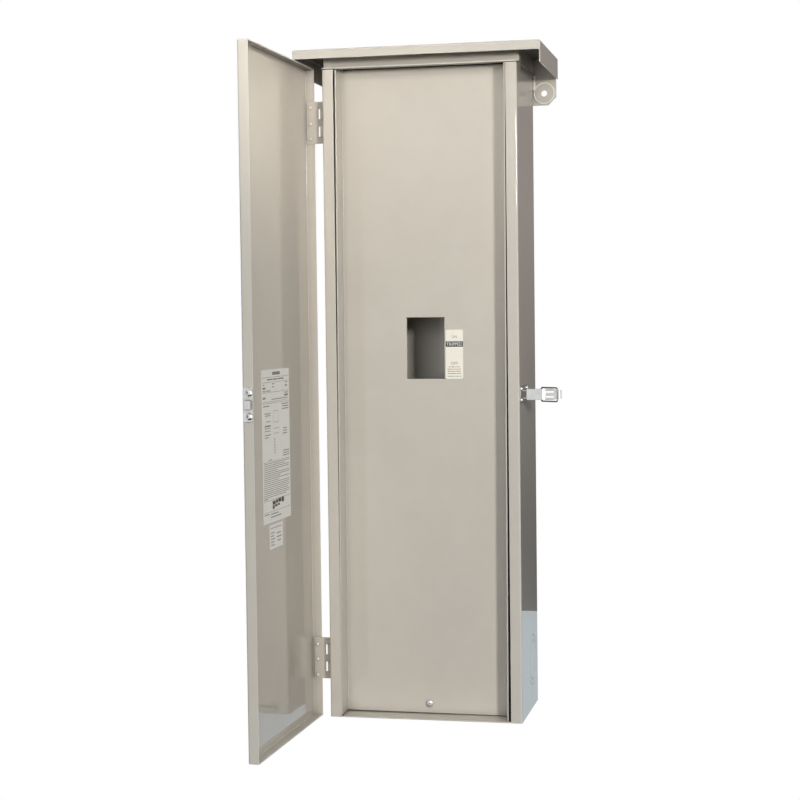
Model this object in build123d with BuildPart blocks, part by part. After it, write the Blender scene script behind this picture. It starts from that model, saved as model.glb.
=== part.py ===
from build123d import *
from math import cos, radians, sin
import os

# A wall mounted circuit breaker enclosure for outdoor use: a folded steel box with a rain
# hood, a trim tray set back inside it, a side hinged door standing open, and a draw latch
# on the right wall that pulls the closed door shut. All sizes are in millimetres.

os.makedirs("parts", exist_ok=True)

# Sheet metal
sheet = 1.5                 # thickness of the box, hood, door and trim sheets
bend = 2.5                  # outside radius of a folded corner

# Box, measured from its bottom and from the plane of its front flanges
box_width = 268.6
box_depth = 155.0
box_height = 892.5          # box bottom to the underside of the top lip
flange_width = 15.4         # each front flange, seen from the front
flange_end_gap = 1.0        # between the flange tops and the top lip
neck_height = 22.3          # top lip to the underside of the hood
neck_set_back = 12.4        # face of the neck behind the front flanges
lip_corner = 4.0            # radius of the top lip's front corners
end_flange = 12.0           # upturned edge of the bottom plate

# Rain hood
hood_front_overhang = 23.3
hood_side_overhang = 35.0
hood_lip = 12.6             # height of the front lip
hood_skirt = 29.7           # height of the side skirts

# Trim tray that covers the wiring space
trim_set_back = 35.0        # face of the trim behind the front flanges
trim_half_width = 117.2
trim_offset = -0.8          # the loose tray lies this far right of the middle
trim_bottom = 2.6
trim_top_rise = 8.0         # the trim reaches this far up behind the top lip
trim_wall_gap = 0.5         # between the tray's walls and the front flanges
trim_lip_gap = 1.0          # between the tray's walls and the top lip
trim_skew = 0.17            # and hangs this many degrees out of square
cutout_width = 53.0
cutout_height = 85.0
cutout_offset = -1.0        # centre of the cut-out, right of the middle
cutout_level = 509.9
decal_width = 24.3
decal_height = 67.6
decal_gap = 1.5             # between the cut-out and the decal
decal_corner = 2.4
decal_level = 501.4
label_thickness = 0.2
fastener_sides = 24          # rivets and screws are round in this many flats

# Brackets and screw that carry the trim
bracket_width = 120.0
bracket_tab = 22.0
bracket_flange = 22.0
bracket_inset = 4.0         # end of the tab from the end of the trim
screw_offset = -1.4
screw_level = 15.4
screw_head_radius = 5.2
screw_head_height = 2.6
screw_radius = 2.4
screw_length = 12.0
screw_slot = 1.3
screw_slot_depth = 1.0
screw_clearance = 0.3

# Ears and holes that fix the box to a wall
ear_stock = 2.6
ear_reach = 32.7            # outer edge of each ear beyond the side wall
ear_overlap = 39.3          # part of each ear behind the back panel
ear_height = 64.5
ear_chamfer = 11.5
ear_hole_reach = 15.6       # ear hole beyond the side wall
ear_hole_rise = 16.9        # ear hole above the ear's lower edge
fixing_hole_radius = 4.25
ear_pad_radius = 15.5
ear_pad_height = 0.6
ear_pad_rim = 2.0
low_hole_offset = 100.0
low_hole_level = 75.0
weld_leg = 4.5
weld_length = 21.5
weld_end_gap = 0.3          # top of the bead below the end cap

# Knockout pressed into the right wall
knockout_radii = (35.5, 28.0)
knockout_groove = 0.9
knockout_depth = 0.7
knockout_set_back = 104.0
knockout_level = 68.0
knockout_bridge = 6.0

# Door, a pan with four folded edges
door_standoff = 6.0         # inside of the panel in front of the box's flanges
door_side_gap = 5.8         # between the walls and the door's folded edges
door_bottom_gap = 1.9
door_top_gap = 0.7
door_edge = 14.2            # depth of the folded edges
door_open_angle = 91.5
label_width = 116.0
label_height = 199.0
label_offset = 12.4         # centre of both door labels, right of the middle
label_level = 387.8
small_label_width = 56.0
small_label_height = 32.0
small_label_offset = 18.4
small_label_level = 269.3

# Hinges: hooked leaves on the wall, slotted leaves on the door
hinge_stock = 2.0
hinge_eye_radius = 2.1      # inside of a hook
hinge_set_back = 19.9       # hinge axis behind the front flanges
hinge_bar = 3.0             # bar of the door leaf that turns in the hooks
hinge_slot_reach = 6.8      # far edge of a slot from the axis
hinge_slot_height = 13.9
hinge_slot_pitch = 24.1
hinge_slot_clearance = 0.3
hinge_leaf_height = 57.5
hinge_wall_leaf = 26.0      # how far the wall leaf runs back from the axis
hinge_low_level = 78.0      # middle of the lower hinge above the box's bottom
hinge_top_drop = 70.45      # middle of the upper hinge below the top lip

# Draw latch on the right wall
latch_level = 446.8
pivot_offset = 10.2         # lever pivot out from the wall
pivot_set_back = 12.7
base_front = 3.0
base_rear = 63.0
base_half_height = 11.5
base_corner = 3.0
rivet_inset = 4.0
rivet_half_pitch = 7.4
rivet_radius = 1.95
rivet_head_radius = 2.8
rivet_head_height = 1.8
hole_clearance = 0.05
latch_ear_radius = 3.0
latch_ear_stock = 1.5
pin_radius = 1.95
lever_stock = 1.2
lever_half_height = 7.5
lever_length = 46.3
lever_web = 4.5             # web of the lever from its pivot
lever_step = 22.0           # where the channel ends and the tongue starts
lever_tongue = 2.6          # tongue from the pivot line
lever_tip_half_height = 5.5
lever_back = 4.0            # how far the lever's sides run behind the pivot
lever_slot_length = 12.0
lever_slot_width = 2.6
lever_slot_half_pitch = 3.3
lever_side_gap = 0.4
bail_reach = 17.8           # bail pivot from the lever pivot
bail_offset = 0.4
bail_wire_radius = 1.0
bail_wire_sides = 8         # the round wire in flats
bail_length = 28.9
bail_half_height = 9.2
bail_bend = 2.5             # at the crossbar
bail_stub_bend = 1.6        # where the ends turn in to the lever
bail_angle = -35.0          # direction of the bail at rest, from straight out
bail_stub_end = 5.3
pivot_clearance = 0.1

# Keeper on the door's free edge
keeper_stock = 1.5
keeper_half_height = 21.5
keeper_half_width = 6.5
keeper_hook_half_height = 5.35
keeper_root = 3.1           # root of the hook behind the front flanges
keeper_mouth = -4.5         # tip of the hook
keeper_gap = 2.8            # clear space under the hook
keeper_rivet_half_pitch = 14.75
keeper_rivet_set_back = 1.9
keeper_head_radius = 4.3
keeper_head_height = 2.2

# The origin lies on the wall, midway between the two ear holes.
hood_under = box_height + neck_height
hood_top = hood_under + sheet
ear_bottom = hood_under - ear_height
ear_hole_level = ear_bottom + ear_hole_rise
trim_top = box_height + trim_top_rise
hinge_levels = (hinge_low_level, box_height - hinge_top_drop)
z_bottom = -ear_hole_level
y_front = -(box_depth + ear_stock)
front = Plane(origin=(0, y_front, z_bottom), x_dir=(1, 0, 0), z_dir=(0, -1, 0))
base = Plane(origin=(0, y_front, z_bottom), x_dir=(1, 0, 0), z_dir=(0, 0, 1))
side = Plane(origin=(0, y_front, z_bottom), x_dir=(0, 1, 0), z_dir=(1, 0, 0))
tilt = radians(trim_skew)
trim_middle = (trim_bottom + trim_top) / 2
trim_face = Plane(
    origin=(trim_offset, y_front + trim_set_back, z_bottom + trim_middle),
    x_dir=(cos(tilt), 0, -sin(tilt)),
    z_dir=(0, -1, 0),
)

half_width = box_width / 2
opening_half = half_width - flange_width
ear_outer = half_width + ear_reach
ear_inner = half_width - ear_overlap
ear_hole_offset = half_width + ear_hole_reach
flange_top = box_height - flange_end_gap
wrapper_top = hood_under - sheet - bend

# Box: one sheet folded round the back, both sides and the two front flanges
with BuildPart() as box_wrapper:
    with BuildSketch(base):
        with BuildLine():
            outside = FilletPolyline(
                (-opening_half, 0),
                (-half_width, 0),
                (-half_width, box_depth),
                (half_width, box_depth),
                (half_width, 0),
                (opening_half, 0),
                radius=bend,
            )
            offset(outside, amount=sheet, side=Side.RIGHT)
        make_face()
    extrude(amount=wrapper_top)
    # The front corners stop below the top lip and the neck.
    with BuildSketch(base.offset(flange_top)):
        with Locations((0, (neck_set_back + sheet + bend) / 2)):
            Rectangle(box_width + 2, neck_set_back + sheet + bend)
    extrude(amount=wrapper_top - flange_top, mode=Mode.SUBTRACT)
    # Grooves of the concentric knockouts in the right wall
    with BuildSketch(side.offset(half_width)):
        with Locations((knockout_set_back, knockout_level)):
            for radius in knockout_radii:
                Circle(radius)
                Circle(radius - knockout_groove, mode=Mode.SUBTRACT)
            Rectangle(3 * knockout_radii[0], knockout_bridge, mode=Mode.SUBTRACT)
    extrude(amount=-knockout_depth, mode=Mode.SUBTRACT)
    # Holes for the latch rivets
    with BuildSketch(side.offset(half_width)):
        with Locations(((base_front + base_rear) / 2, latch_level)):
            with GridLocations(base_rear - base_front - 2 * rivet_inset, 2 * rivet_half_pitch, 2, 2):
                Circle(rivet_radius + hole_clearance)
    extrude(amount=-sheet, mode=Mode.SUBTRACT)
    # Lower fixing holes in the back panel
    with BuildSketch(front.offset(-box_depth)):
        with Locations((-low_hole_offset, low_hole_level), (low_hole_offset, low_hole_level)):
            Circle(fixing_hole_radius)
    extrude(amount=sheet, mode=Mode.SUBTRACT)

# Bottom: a plate inside the wrapper with upturned edges, open at the front
plate_half = half_width - sheet
plate_depth = box_depth - sheet - bend
with BuildPart() as bottom_end_plate:
    with BuildSketch(base):
        with Locations((0, bend + plate_depth / 2)):
            Rectangle(2 * plate_half, plate_depth)
    extrude(amount=end_flange)
    corners = bottom_end_plate.edges().filter_by(Axis.Z).group_by(Axis.Y)[-1]
    fillet(corners + bottom_end_plate.faces().sort_by(Axis.Z)[0].edges().filter_by(Axis.Y), radius=bend)
    plate_faces = bottom_end_plate.faces()
    offset(amount=-sheet, openings=[plate_faces.sort_by(Axis.Z)[-1], plate_faces.sort_by(Axis.Y)[0]])
    with BuildSketch(base):
        with Locations((0, bend / 2)):
            Rectangle(2 * opening_half, bend)
    extrude(amount=sheet)

# Top: a cap round the wrapper's upper end, its face set back so that the door's folded
# edge closes over the lip in front of it
cap_half = half_width + sheet
with BuildPart() as top_end_cap:
    with BuildSketch(base.offset(box_height)):
        with Locations((0, (neck_set_back + box_depth) / 2)):
            Rectangle(2 * cap_half, box_depth - neck_set_back)
    extrude(amount=neck_height)
    fillet(top_end_cap.edges().filter_by(Axis.Z).group_by(Axis.Y)[0], radius=bend)
    cap_faces = top_end_cap.faces()
    offset(amount=-sheet, openings=[cap_faces.sort_by(Axis.Z)[0], cap_faces.sort_by(Axis.Y)[-1]])
    with BuildSketch(base.offset(box_height)):
        with Locations((0, (neck_set_back + sheet) / 2)):
            lip = Rectangle(2 * cap_half, neck_set_back + sheet)
        fillet(lip.vertices().group_by(Axis.Y)[0], radius=lip_corner)
    extrude(amount=sheet)

# Rain hood: flat top, shallow lip in front, deeper skirts at the sides, open behind
hood_half = half_width + hood_side_overhang
hood_length = hood_front_overhang + box_depth + ear_stock
with BuildPart() as rain_hood:
    with BuildSketch(base.offset(hood_top)):
        with Locations((0, hood_length / 2 - hood_front_overhang)):
            Rectangle(2 * hood_half, hood_length)
    extrude(amount=-hood_skirt)
    top_edges = rain_hood.faces().sort_by(Axis.Z)[-1].edges()
    fillet(top_edges.filter_by(Axis.Y) + top_edges.sort_by(Axis.Y)[:1], radius=bend)
    hood_faces = rain_hood.faces()
    offset(amount=-sheet, openings=[hood_faces.sort_by(Axis.Z)[0], hood_faces.sort_by(Axis.Y)[-1]])
    with BuildSketch(front.offset(hood_front_overhang)):
        with Locations((0, hood_top - (hood_lip + hood_skirt) / 2)):
            Rectangle(2 * (hood_half - sheet), hood_skirt - hood_lip)
    extrude(amount=-sheet, mode=Mode.SUBTRACT)

# Trim tray: a face set back in the box with its sides folded forward
tray_depth = trim_set_back - sheet - trim_wall_gap
trim_height = trim_top - trim_bottom
screw_spot = (screw_offset, screw_level)
with BuildPart() as trim_tray:
    with BuildSketch(trim_face.offset(-sheet)):
        Rectangle(2 * trim_half_width, trim_height)
    extrude(amount=tray_depth + sheet)
    fillet(trim_tray.faces().sort_by(Axis.Y)[-1].edges().filter_by(lambda e: e.length > trim_height - 1),
           radius=bend)
    tray_faces = trim_tray.faces()
    open_faces = [tray_faces.sort_by(Axis.Y)[0], tray_faces.sort_by(Axis.Z)[0], tray_faces.sort_by(Axis.Z)[-1]]
    offset(amount=-sheet, openings=open_faces)
    # The side walls stop below the top lip, and the face goes on up behind the neck.
    with BuildSketch(base.offset(box_height - trim_lip_gap)):
        with Locations((0, (neck_set_back + sheet + trim_lip_gap) / 2)):
            Rectangle(box_width, neck_set_back + sheet + trim_lip_gap)
    extrude(amount=2 * trim_top_rise, mode=Mode.SUBTRACT)
    with BuildSketch(trim_face):
        with Locations((cutout_offset - trim_offset, cutout_level - trim_middle)):
            Rectangle(cutout_width, cutout_height)
    extrude(amount=-sheet, mode=Mode.SUBTRACT)
    with BuildSketch(front.offset(-trim_set_back)):
        with Locations(screw_spot):
            Circle(screw_radius + screw_clearance)
    extrude(amount=-sheet, mode=Mode.SUBTRACT)

# Decal beside the cut-out
decal_offset = cutout_offset + cutout_width / 2 + decal_gap + decal_width / 2
with BuildPart() as switch_decal:
    with BuildSketch(trim_face):
        with Locations((decal_offset - trim_offset, decal_level - trim_middle)):
            RectangleRounded(decal_width, decal_height, decal_corner)
    extrude(amount=label_thickness)

# Brackets from the back panel to the trim: a tab behind the trim, a deep web and a flange
trim_back = trim_set_back + sheet
back_inside = box_depth - sheet
low_web = trim_bottom + bracket_inset + bracket_tab
with BuildPart() as bracket_lower:
    with BuildSketch(side.offset(-bracket_width / 2)):
        with BuildLine():
            low_line = FilletPolyline(
                (trim_back, low_web - bracket_tab),
                (trim_back, low_web),
                (back_inside - sheet, low_web),
                (back_inside - sheet, low_web + bracket_flange),
                radius=bend,
            )
            offset(low_line, amount=sheet, side=Side.RIGHT)
        make_face()
    extrude(amount=bracket_width)
    with BuildSketch(front.offset(-trim_back)):
        with Locations(screw_spot):
            Circle(screw_radius + hole_clearance)
    extrude(amount=-sheet, mode=Mode.SUBTRACT)

high_web = trim_top - bracket_inset - bracket_tab
with BuildPart() as bracket_upper:
    with BuildSketch(side.offset(-bracket_width / 2)):
        with BuildLine():
            high_line = FilletPolyline(
                (trim_back, high_web + bracket_tab),
                (trim_back, high_web),
                (back_inside - sheet, high_web),
                (back_inside - sheet, high_web - bracket_flange),
                radius=bend,
            )
            offset(high_line, amount=sheet, side=Side.LEFT)
        make_face()
    extrude(amount=bracket_width)

# Slotted screw through the trim into the lower bracket
with BuildPart() as trim_screw:
    with BuildSketch(front.offset(-trim_set_back)):
        with Locations(screw_spot):
            RegularPolygon(screw_head_radius, fastener_sides)
    extrude(amount=screw_head_height)
    chamfer(trim_screw.faces().sort_by(Axis.Y)[0].edges(), length=screw_head_height * 0.6)
    with BuildSketch(front.offset(screw_head_height - trim_set_back)):
        with Locations(screw_spot):
            Rectangle(2 * screw_head_radius, screw_slot)
    extrude(amount=-screw_slot_depth, mode=Mode.SUBTRACT)
    with BuildSketch(front.offset(-trim_set_back)):
        with Locations(screw_spot):
            RegularPolygon(screw_radius, fastener_sides)
    extrude(amount=-screw_length)

# Ears behind the back panel that take the upper wall bolts
with BuildPart() as ear_right:
    with BuildSketch(front.offset(-box_depth)):
        with Locations(((ear_inner + ear_outer) / 2, ear_bottom + ear_height / 2)):
            blank = Rectangle(ear_outer - ear_inner, ear_height)
        low_outer = blank.vertices().sort_by(lambda v: v.X - v.Y)[-1]
        chamfer(low_outer, length=ear_chamfer)
    extrude(amount=-ear_stock)
    with BuildSketch(front.offset(-box_depth)):
        with Locations((ear_hole_offset, ear_hole_level)):
            Circle(ear_pad_radius)
    extrude(amount=ear_pad_height)
    with BuildSketch(front.offset(-box_depth)):
        with Locations((ear_hole_offset, ear_hole_level)):
            Circle(fixing_hole_radius)
    extrude(amount=-ear_stock, mode=Mode.SUBTRACT)
    with BuildSketch(front.offset(-box_depth)):
        with Locations((ear_hole_offset, ear_hole_level)):
            Circle(ear_pad_radius - ear_pad_rim)
    extrude(amount=ear_pad_height, mode=Mode.SUBTRACT)

with BuildPart() as ear_left:
    mirror(ear_right.part, about=Plane.YZ)

# Weld beads in the corners between the walls and the ears
with BuildPart() as ear_welds:
    with BuildSketch(base.offset(box_height - weld_end_gap - weld_length)):
        with BuildLine():
            Polyline(
                (half_width, box_depth - weld_leg),
                (half_width + weld_leg, box_depth),
                (half_width, box_depth),
                close=True,
            )
        make_face()
    extrude(amount=weld_length)
    with BuildSketch(front.offset(-box_depth)):
        with Locations((ear_hole_offset, ear_hole_level)):
            Circle(ear_pad_radius)
    extrude(amount=ear_pad_height, mode=Mode.SUBTRACT)
    mirror(about=Plane.YZ)

# Hinge leaves on the left wall, each with two closed hooks
eye_outer = hinge_eye_radius + hinge_stock
hinge_offset = half_width + eye_outer
slot_rise = hinge_slot_pitch / 2
hook_height = hinge_slot_height - 2 * hinge_slot_clearance
with BuildPart() as wall_leaf:
    with BuildSketch(base.offset(hinge_levels[0] - hinge_leaf_height / 2)):
        with Locations((-half_width - hinge_stock / 2, hinge_set_back + hinge_stock / 2 + hinge_wall_leaf / 2)):
            Rectangle(hinge_stock, hinge_wall_leaf - hinge_stock)
    extrude(amount=hinge_leaf_height)
    for rise in (-slot_rise, slot_rise):
        with BuildSketch(base.offset(hinge_levels[0] + rise - hook_height / 2)):
            with Locations((-hinge_offset, hinge_set_back)):
                Circle(eye_outer)
                Circle(hinge_eye_radius, mode=Mode.SUBTRACT)
        extrude(amount=hook_height)

with BuildPart() as wall_hinge_leaf_lower:
    add(wall_leaf.part)

with BuildPart() as wall_hinge_leaf_upper:
    add(wall_leaf.part.moved(Location((0, 0, hinge_levels[1] - hinge_levels[0]))))

# Latch: base with two ears, pin, lever and wire bail
latch = Plane(
    origin=(half_width + pivot_offset, y_front + pivot_set_back, z_bottom + latch_level),
    x_dir=(1, 0, 0),
    z_dir=(0, 0, 1),
)
latch_face = side.offset(half_width)
lever_inside = lever_half_height - lever_stock
ear_face = lever_inside - lever_side_gap
with BuildPart() as latch_base:
    with BuildSketch(latch_face):
        with Locations(((base_front + base_rear) / 2, latch_level)):
            RectangleRounded(base_rear - base_front, 2 * base_half_height, base_corner)
            with GridLocations(base_rear - base_front - 2 * rivet_inset, 2 * rivet_half_pitch, 2, 2):
                Circle(rivet_radius + hole_clearance, mode=Mode.SUBTRACT)
    extrude(amount=sheet)
    for level in (-ear_face, ear_face - latch_ear_stock):
        with BuildSketch(latch.offset(level)):
            Circle(latch_ear_radius)
            with Locations(((sheet - pivot_offset) / 2, 0)):
                Rectangle(pivot_offset - sheet, 2 * latch_ear_radius)
            Circle(pin_radius + hole_clearance, mode=Mode.SUBTRACT)
        extrude(amount=latch_ear_stock)

with BuildPart() as latch_base_rivets:
    with BuildSketch(latch_face.offset(sheet)):
        with Locations(((base_front + base_rear) / 2, latch_level)):
            with GridLocations(base_rear - base_front - 2 * rivet_inset, 2 * rivet_half_pitch, 2, 2):
                RegularPolygon(rivet_head_radius, fastener_sides)
    extrude(amount=rivet_head_height)
    chamfer(latch_base_rivets.faces().group_by(Axis.X)[-1].edges(), length=rivet_head_height * 0.6)
    with BuildSketch(latch_face.offset(sheet)):
        with Locations(((base_front + base_rear) / 2, latch_level)):
            with GridLocations(base_rear - base_front - 2 * rivet_inset, 2 * rivet_half_pitch, 2, 2):
                RegularPolygon(rivet_radius, fastener_sides)
    extrude(amount=-3 * sheet)

with BuildPart() as latch_pin:
    with BuildSketch(latch.offset(-lever_half_height)):
        Circle(pin_radius)
    extrude(amount=2 * lever_half_height)

web_face = -lever_web
tongue_face = -lever_tongue
with BuildPart() as latch_lever:
    # Web, step, tongue and curled tip in one strip
    with BuildSketch(latch.offset(-lever_half_height)):
        with BuildLine():
            strip = FilletPolyline(
                (-lever_back / 2, web_face),
                (lever_step - 2, web_face),
                (lever_step + 1, tongue_face),
                (lever_length - 4, tongue_face),
                (lever_length - lever_stock, tongue_face + 4.5),
                radius=1.6,
            )
            offset(strip, amount=lever_stock, side=Side.LEFT)
        make_face()
    extrude(amount=2 * lever_half_height)
    # The tongue narrows to the tip.
    with BuildSketch(Plane(origin=latch.origin, x_dir=(1, 0, 0), z_dir=(0, -1, 0))):
        for sign in (-1, 1):
            with BuildLine():
                Polyline(
                    (lever_step + 6, sign * (lever_half_height + 1)),
                    (lever_length + 1, sign * (lever_half_height + 1)),
                    (lever_length + 1, sign * lever_tip_half_height),
                    (lever_length - 5, sign * lever_tip_half_height),
                    close=True,
                )
            make_face()
    extrude(amount=2 * lever_web, both=True, mode=Mode.SUBTRACT)
    # Two long slots in the tongue
    with BuildSketch(Plane(origin=latch.origin, x_dir=(1, 0, 0), z_dir=(0, -1, 0))):
        with Locations((lever_step + 1 + lever_slot_length / 2, 0)):
            with GridLocations(1, 2 * lever_slot_half_pitch, 1, 2):
                SlotOverall(lever_slot_length, lever_slot_width)
    extrude(amount=2 * lever_web, both=True, mode=Mode.SUBTRACT)
    # Sides of the channel with the holes for the pin and the bail
    for level in (-lever_half_height, lever_inside):
        with BuildSketch(latch.offset(level)):
            with BuildLine():
                Polyline(
                    (-lever_back, web_face + 2),
                    (-lever_back / 2, web_face),
                    (lever_step - 2, web_face),
                    (lever_step, 0),
                    (lever_step - 2, lever_back - 1),
                    (lever_back, lever_back),
                    (-lever_back / 2, lever_back),
                    (-lever_back, lever_back - 2),
                    close=True,
                )
            make_face()
            Circle(pin_radius + pivot_clearance, mode=Mode.SUBTRACT)
            with Locations((bail_reach, bail_offset)):
                Circle(bail_wire_radius + pivot_clearance, mode=Mode.SUBTRACT)
        extrude(amount=lever_stock)

turn = radians(bail_angle)
bail_pivot = latch.from_local_coords((bail_reach, bail_offset, 0))
bail_plane = Plane(origin=bail_pivot, x_dir=(cos(turn), sin(turn), 0), z_dir=(sin(turn), -cos(turn), 0))
with BuildPart() as latch_bail:
    with BuildLine(bail_plane):
        wire = FilletPolyline(
            (0, bail_stub_end),
            (0, bail_half_height),
            (bail_length, bail_half_height),
            (bail_length, -bail_half_height),
            (0, -bail_half_height),
            (0, -bail_stub_end),
            radius=(bail_stub_bend, bail_bend, bail_bend, bail_stub_bend),
        )
    with BuildSketch(Plane(origin=wire @ 0, z_dir=wire % 0)):
        RegularPolygon(bail_wire_radius, bail_wire_sides)
    sweep()

# Door and what it carries, made in the closed position
hinge_axis = Axis((-hinge_offset, y_front + hinge_set_back, 0), (0, 0, 1))
door_half = half_width + door_side_gap + sheet
door_bottom = -door_bottom_gap - sheet
door_top = box_height + sheet + door_top_gap + sheet
door_face = door_standoff + sheet
with BuildPart() as door_pan:
    with BuildSketch(front.offset(door_face)):
        with Locations((0, (door_bottom + door_top) / 2)):
            Rectangle(2 * door_half, door_top - door_bottom)
    extrude(amount=-door_edge)
    fillet(door_pan.faces().sort_by(Axis.Y)[0].edges(), radius=bend)
    offset(amount=-sheet, openings=door_pan.faces().sort_by(Axis.Y)[-1])
    # Holes for the keeper's rivets in the free edge
    with BuildSketch(side.offset(door_half)):
        with Locations((keeper_rivet_set_back, latch_level)):
            with GridLocations(1, 2 * keeper_rivet_half_pitch, 1, 2):
                Circle(rivet_radius + hole_clearance)
    extrude(amount=-sheet, mode=Mode.SUBTRACT)

with BuildPart() as door_label_large:
    with BuildSketch(front.offset(door_standoff)):
        with Locations((label_offset, label_level)):
            Rectangle(label_width, label_height)
    extrude(amount=-label_thickness)

with BuildPart() as door_label_small:
    with BuildSketch(front.offset(door_standoff)):
        with Locations((small_label_offset, small_label_level)):
            Rectangle(small_label_width, small_label_height)
    extrude(amount=-label_thickness)

# Door hinge leaves: welded inside the folded edge, joggled to the axis, with two slots for
# the hooks, so that the bar left at the end turns inside them
flange_inside = door_half - sheet
leaf_line = -flange_inside + hinge_stock
bar_line = -hinge_offset + hinge_stock / 2
with BuildPart() as door_leaf:
    with BuildSketch(base.offset(hinge_levels[0] - hinge_leaf_height / 2)):
        with BuildLine():
            inner = Polyline(
                (leaf_line, bend - door_standoff),
                (leaf_line, hinge_set_back - hinge_slot_reach - 3),
                (bar_line, hinge_set_back - hinge_slot_reach),
                (bar_line, hinge_set_back + hinge_bar / 2),
            )
            offset(inner, amount=hinge_stock, side=Side.LEFT)
        make_face()
    extrude(amount=hinge_leaf_height)
    with BuildSketch(side.offset(-hinge_offset - 2 * hinge_stock)):
        with Locations((hinge_set_back - (hinge_slot_reach + hinge_bar / 2) / 2, hinge_levels[0])):
            with GridLocations(1, hinge_slot_pitch, 1, 2):
                Rectangle(hinge_slot_reach - hinge_bar / 2, hinge_slot_height)
    extrude(amount=4 * hinge_stock, mode=Mode.SUBTRACT)

with BuildPart() as door_hinge_leaf_lower:
    add(door_leaf.part)

with BuildPart() as door_hinge_leaf_upper:
    add(door_leaf.part.moved(Location((0, 0, hinge_levels[1] - hinge_levels[0]))))

# Keeper: a strap on the free edge with a hook that opens to the front
strap_face = door_half + keeper_stock
hook_top = strap_face + keeper_gap + keeper_stock
with BuildPart() as keeper:
    with BuildSketch(side.offset(door_half)):
        with Locations((0, latch_level)):
            RectangleRounded(2 * keeper_half_width, 2 * keeper_half_height, base_corner)
        with Locations((keeper_rivet_set_back, latch_level)):
            with GridLocations(1, 2 * keeper_rivet_half_pitch, 1, 2):
                Circle(rivet_radius + hole_clearance, mode=Mode.SUBTRACT)
    extrude(amount=keeper_stock)
    with BuildSketch(base.offset(latch_level - keeper_hook_half_height)):
        with BuildLine():
            hook = Polyline(
                (strap_face, keeper_root + keeper_stock),
                (hook_top, keeper_root + keeper_stock),
                (hook_top, keeper_mouth),
            )
            offset(hook, amount=keeper_stock, side=Side.RIGHT, kind=Kind.INTERSECTION)
        make_face()
    extrude(amount=2 * keeper_hook_half_height)

with BuildPart() as keeper_rivets:
    with BuildSketch(side.offset(strap_face)):
        with Locations((keeper_rivet_set_back, latch_level)):
            with GridLocations(1, 2 * keeper_rivet_half_pitch, 1, 2):
                RegularPolygon(keeper_head_radius, fastener_sides)
    extrude(amount=keeper_head_height)
    chamfer(keeper_rivets.faces().group_by(Axis.X)[-1].edges(), length=keeper_head_height * 0.6)
    with BuildSketch(side.offset(strap_face)):
        with Locations((keeper_rivet_set_back, latch_level)):
            with GridLocations(1, 2 * keeper_rivet_half_pitch, 1, 2):
                RegularPolygon(rivet_radius, fastener_sides)
    extrude(amount=-keeper_stock - 2 * sheet)

fixed_pieces = {
    "box_wrapper": box_wrapper,
    "bottom_end_plate": bottom_end_plate,
    "top_end_cap": top_end_cap,
    "rain_hood": rain_hood,
    "trim_tray": trim_tray,
    "trim_screw": trim_screw,
    "switch_decal": switch_decal,
    "bracket_lower": bracket_lower,
    "bracket_upper": bracket_upper,
    "ear_right": ear_right,
    "ear_left": ear_left,
    "ear_welds": ear_welds,
    "wall_hinge_leaf_lower": wall_hinge_leaf_lower,
    "wall_hinge_leaf_upper": wall_hinge_leaf_upper,
    "latch_base": latch_base,
    "latch_base_rivets": latch_base_rivets,
    "latch_pin": latch_pin,
    "latch_lever": latch_lever,
    "latch_bail": latch_bail,
}
door_pieces = {
    "door_pan": door_pan,
    "door_label_large": door_label_large,
    "door_label_small": door_label_small,
    "door_hinge_leaf_lower": door_hinge_leaf_lower,
    "door_hinge_leaf_upper": door_hinge_leaf_upper,
    "keeper": keeper,
    "keeper_rivets": keeper_rivets,
}

# The door stands open, so its pieces swing out about the hinge axis.
for piece in door_pieces.values():
    piece.part = piece.part.rotate(hinge_axis, -door_open_angle)

for name, piece in (fixed_pieces | door_pieces).items():
    piece.part.label = name
    export_step(piece.part, f"parts/{name}.step")
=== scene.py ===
from math import cos, pi, radians, sin

import bpy
from mathutils import Matrix, Vector


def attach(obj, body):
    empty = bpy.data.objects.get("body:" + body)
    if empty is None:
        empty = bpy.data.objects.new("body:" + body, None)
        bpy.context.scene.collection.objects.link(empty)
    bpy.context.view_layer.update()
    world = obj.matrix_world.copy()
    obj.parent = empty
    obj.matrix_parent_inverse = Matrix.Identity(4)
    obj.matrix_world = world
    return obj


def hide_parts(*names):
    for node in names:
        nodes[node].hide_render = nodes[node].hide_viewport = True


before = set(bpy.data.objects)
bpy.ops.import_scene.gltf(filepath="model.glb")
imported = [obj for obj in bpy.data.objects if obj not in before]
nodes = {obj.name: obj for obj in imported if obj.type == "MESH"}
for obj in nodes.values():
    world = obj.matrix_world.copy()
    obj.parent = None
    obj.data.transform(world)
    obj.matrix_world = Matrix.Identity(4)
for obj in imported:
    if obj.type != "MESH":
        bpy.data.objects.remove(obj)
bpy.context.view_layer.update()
bpy.ops.object.select_all(action="DESELECT")

# Planes and levels of the box. Plain numbers are millimetres, and MM makes them metres.

MM = 0.001
FLANGE_PLANE = -157.6    # the box's front flanges, from the wall
BOX_BOTTOM = -867.2      # from the level of the ear holes
EAR_LEVEL = 867.2        # the ear holes, above the box's bottom
EAR_HOLE_SIDE = 149.9    # the ear holes, from the middle
WALL_FACE = 134.3        # the outside of the right wall, from the middle
TRIM_FACE = 35.0         # behind the flanges
LATCH_LEVEL = 446.8      # the latch's middle, above the box's bottom
HINGE_LINE = Vector((-138.4, FLANGE_PLANE + 19.9, 0)) * MM
DOOR_SWING = radians(-91.5)

# Carries a piece from the shut door to the open one
TO_OPEN_DOOR = (Matrix.Translation(HINGE_LINE) @ Matrix.Rotation(DOOR_SWING, 4, "Z")
                @ Matrix.Translation(-HINGE_LINE))


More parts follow.
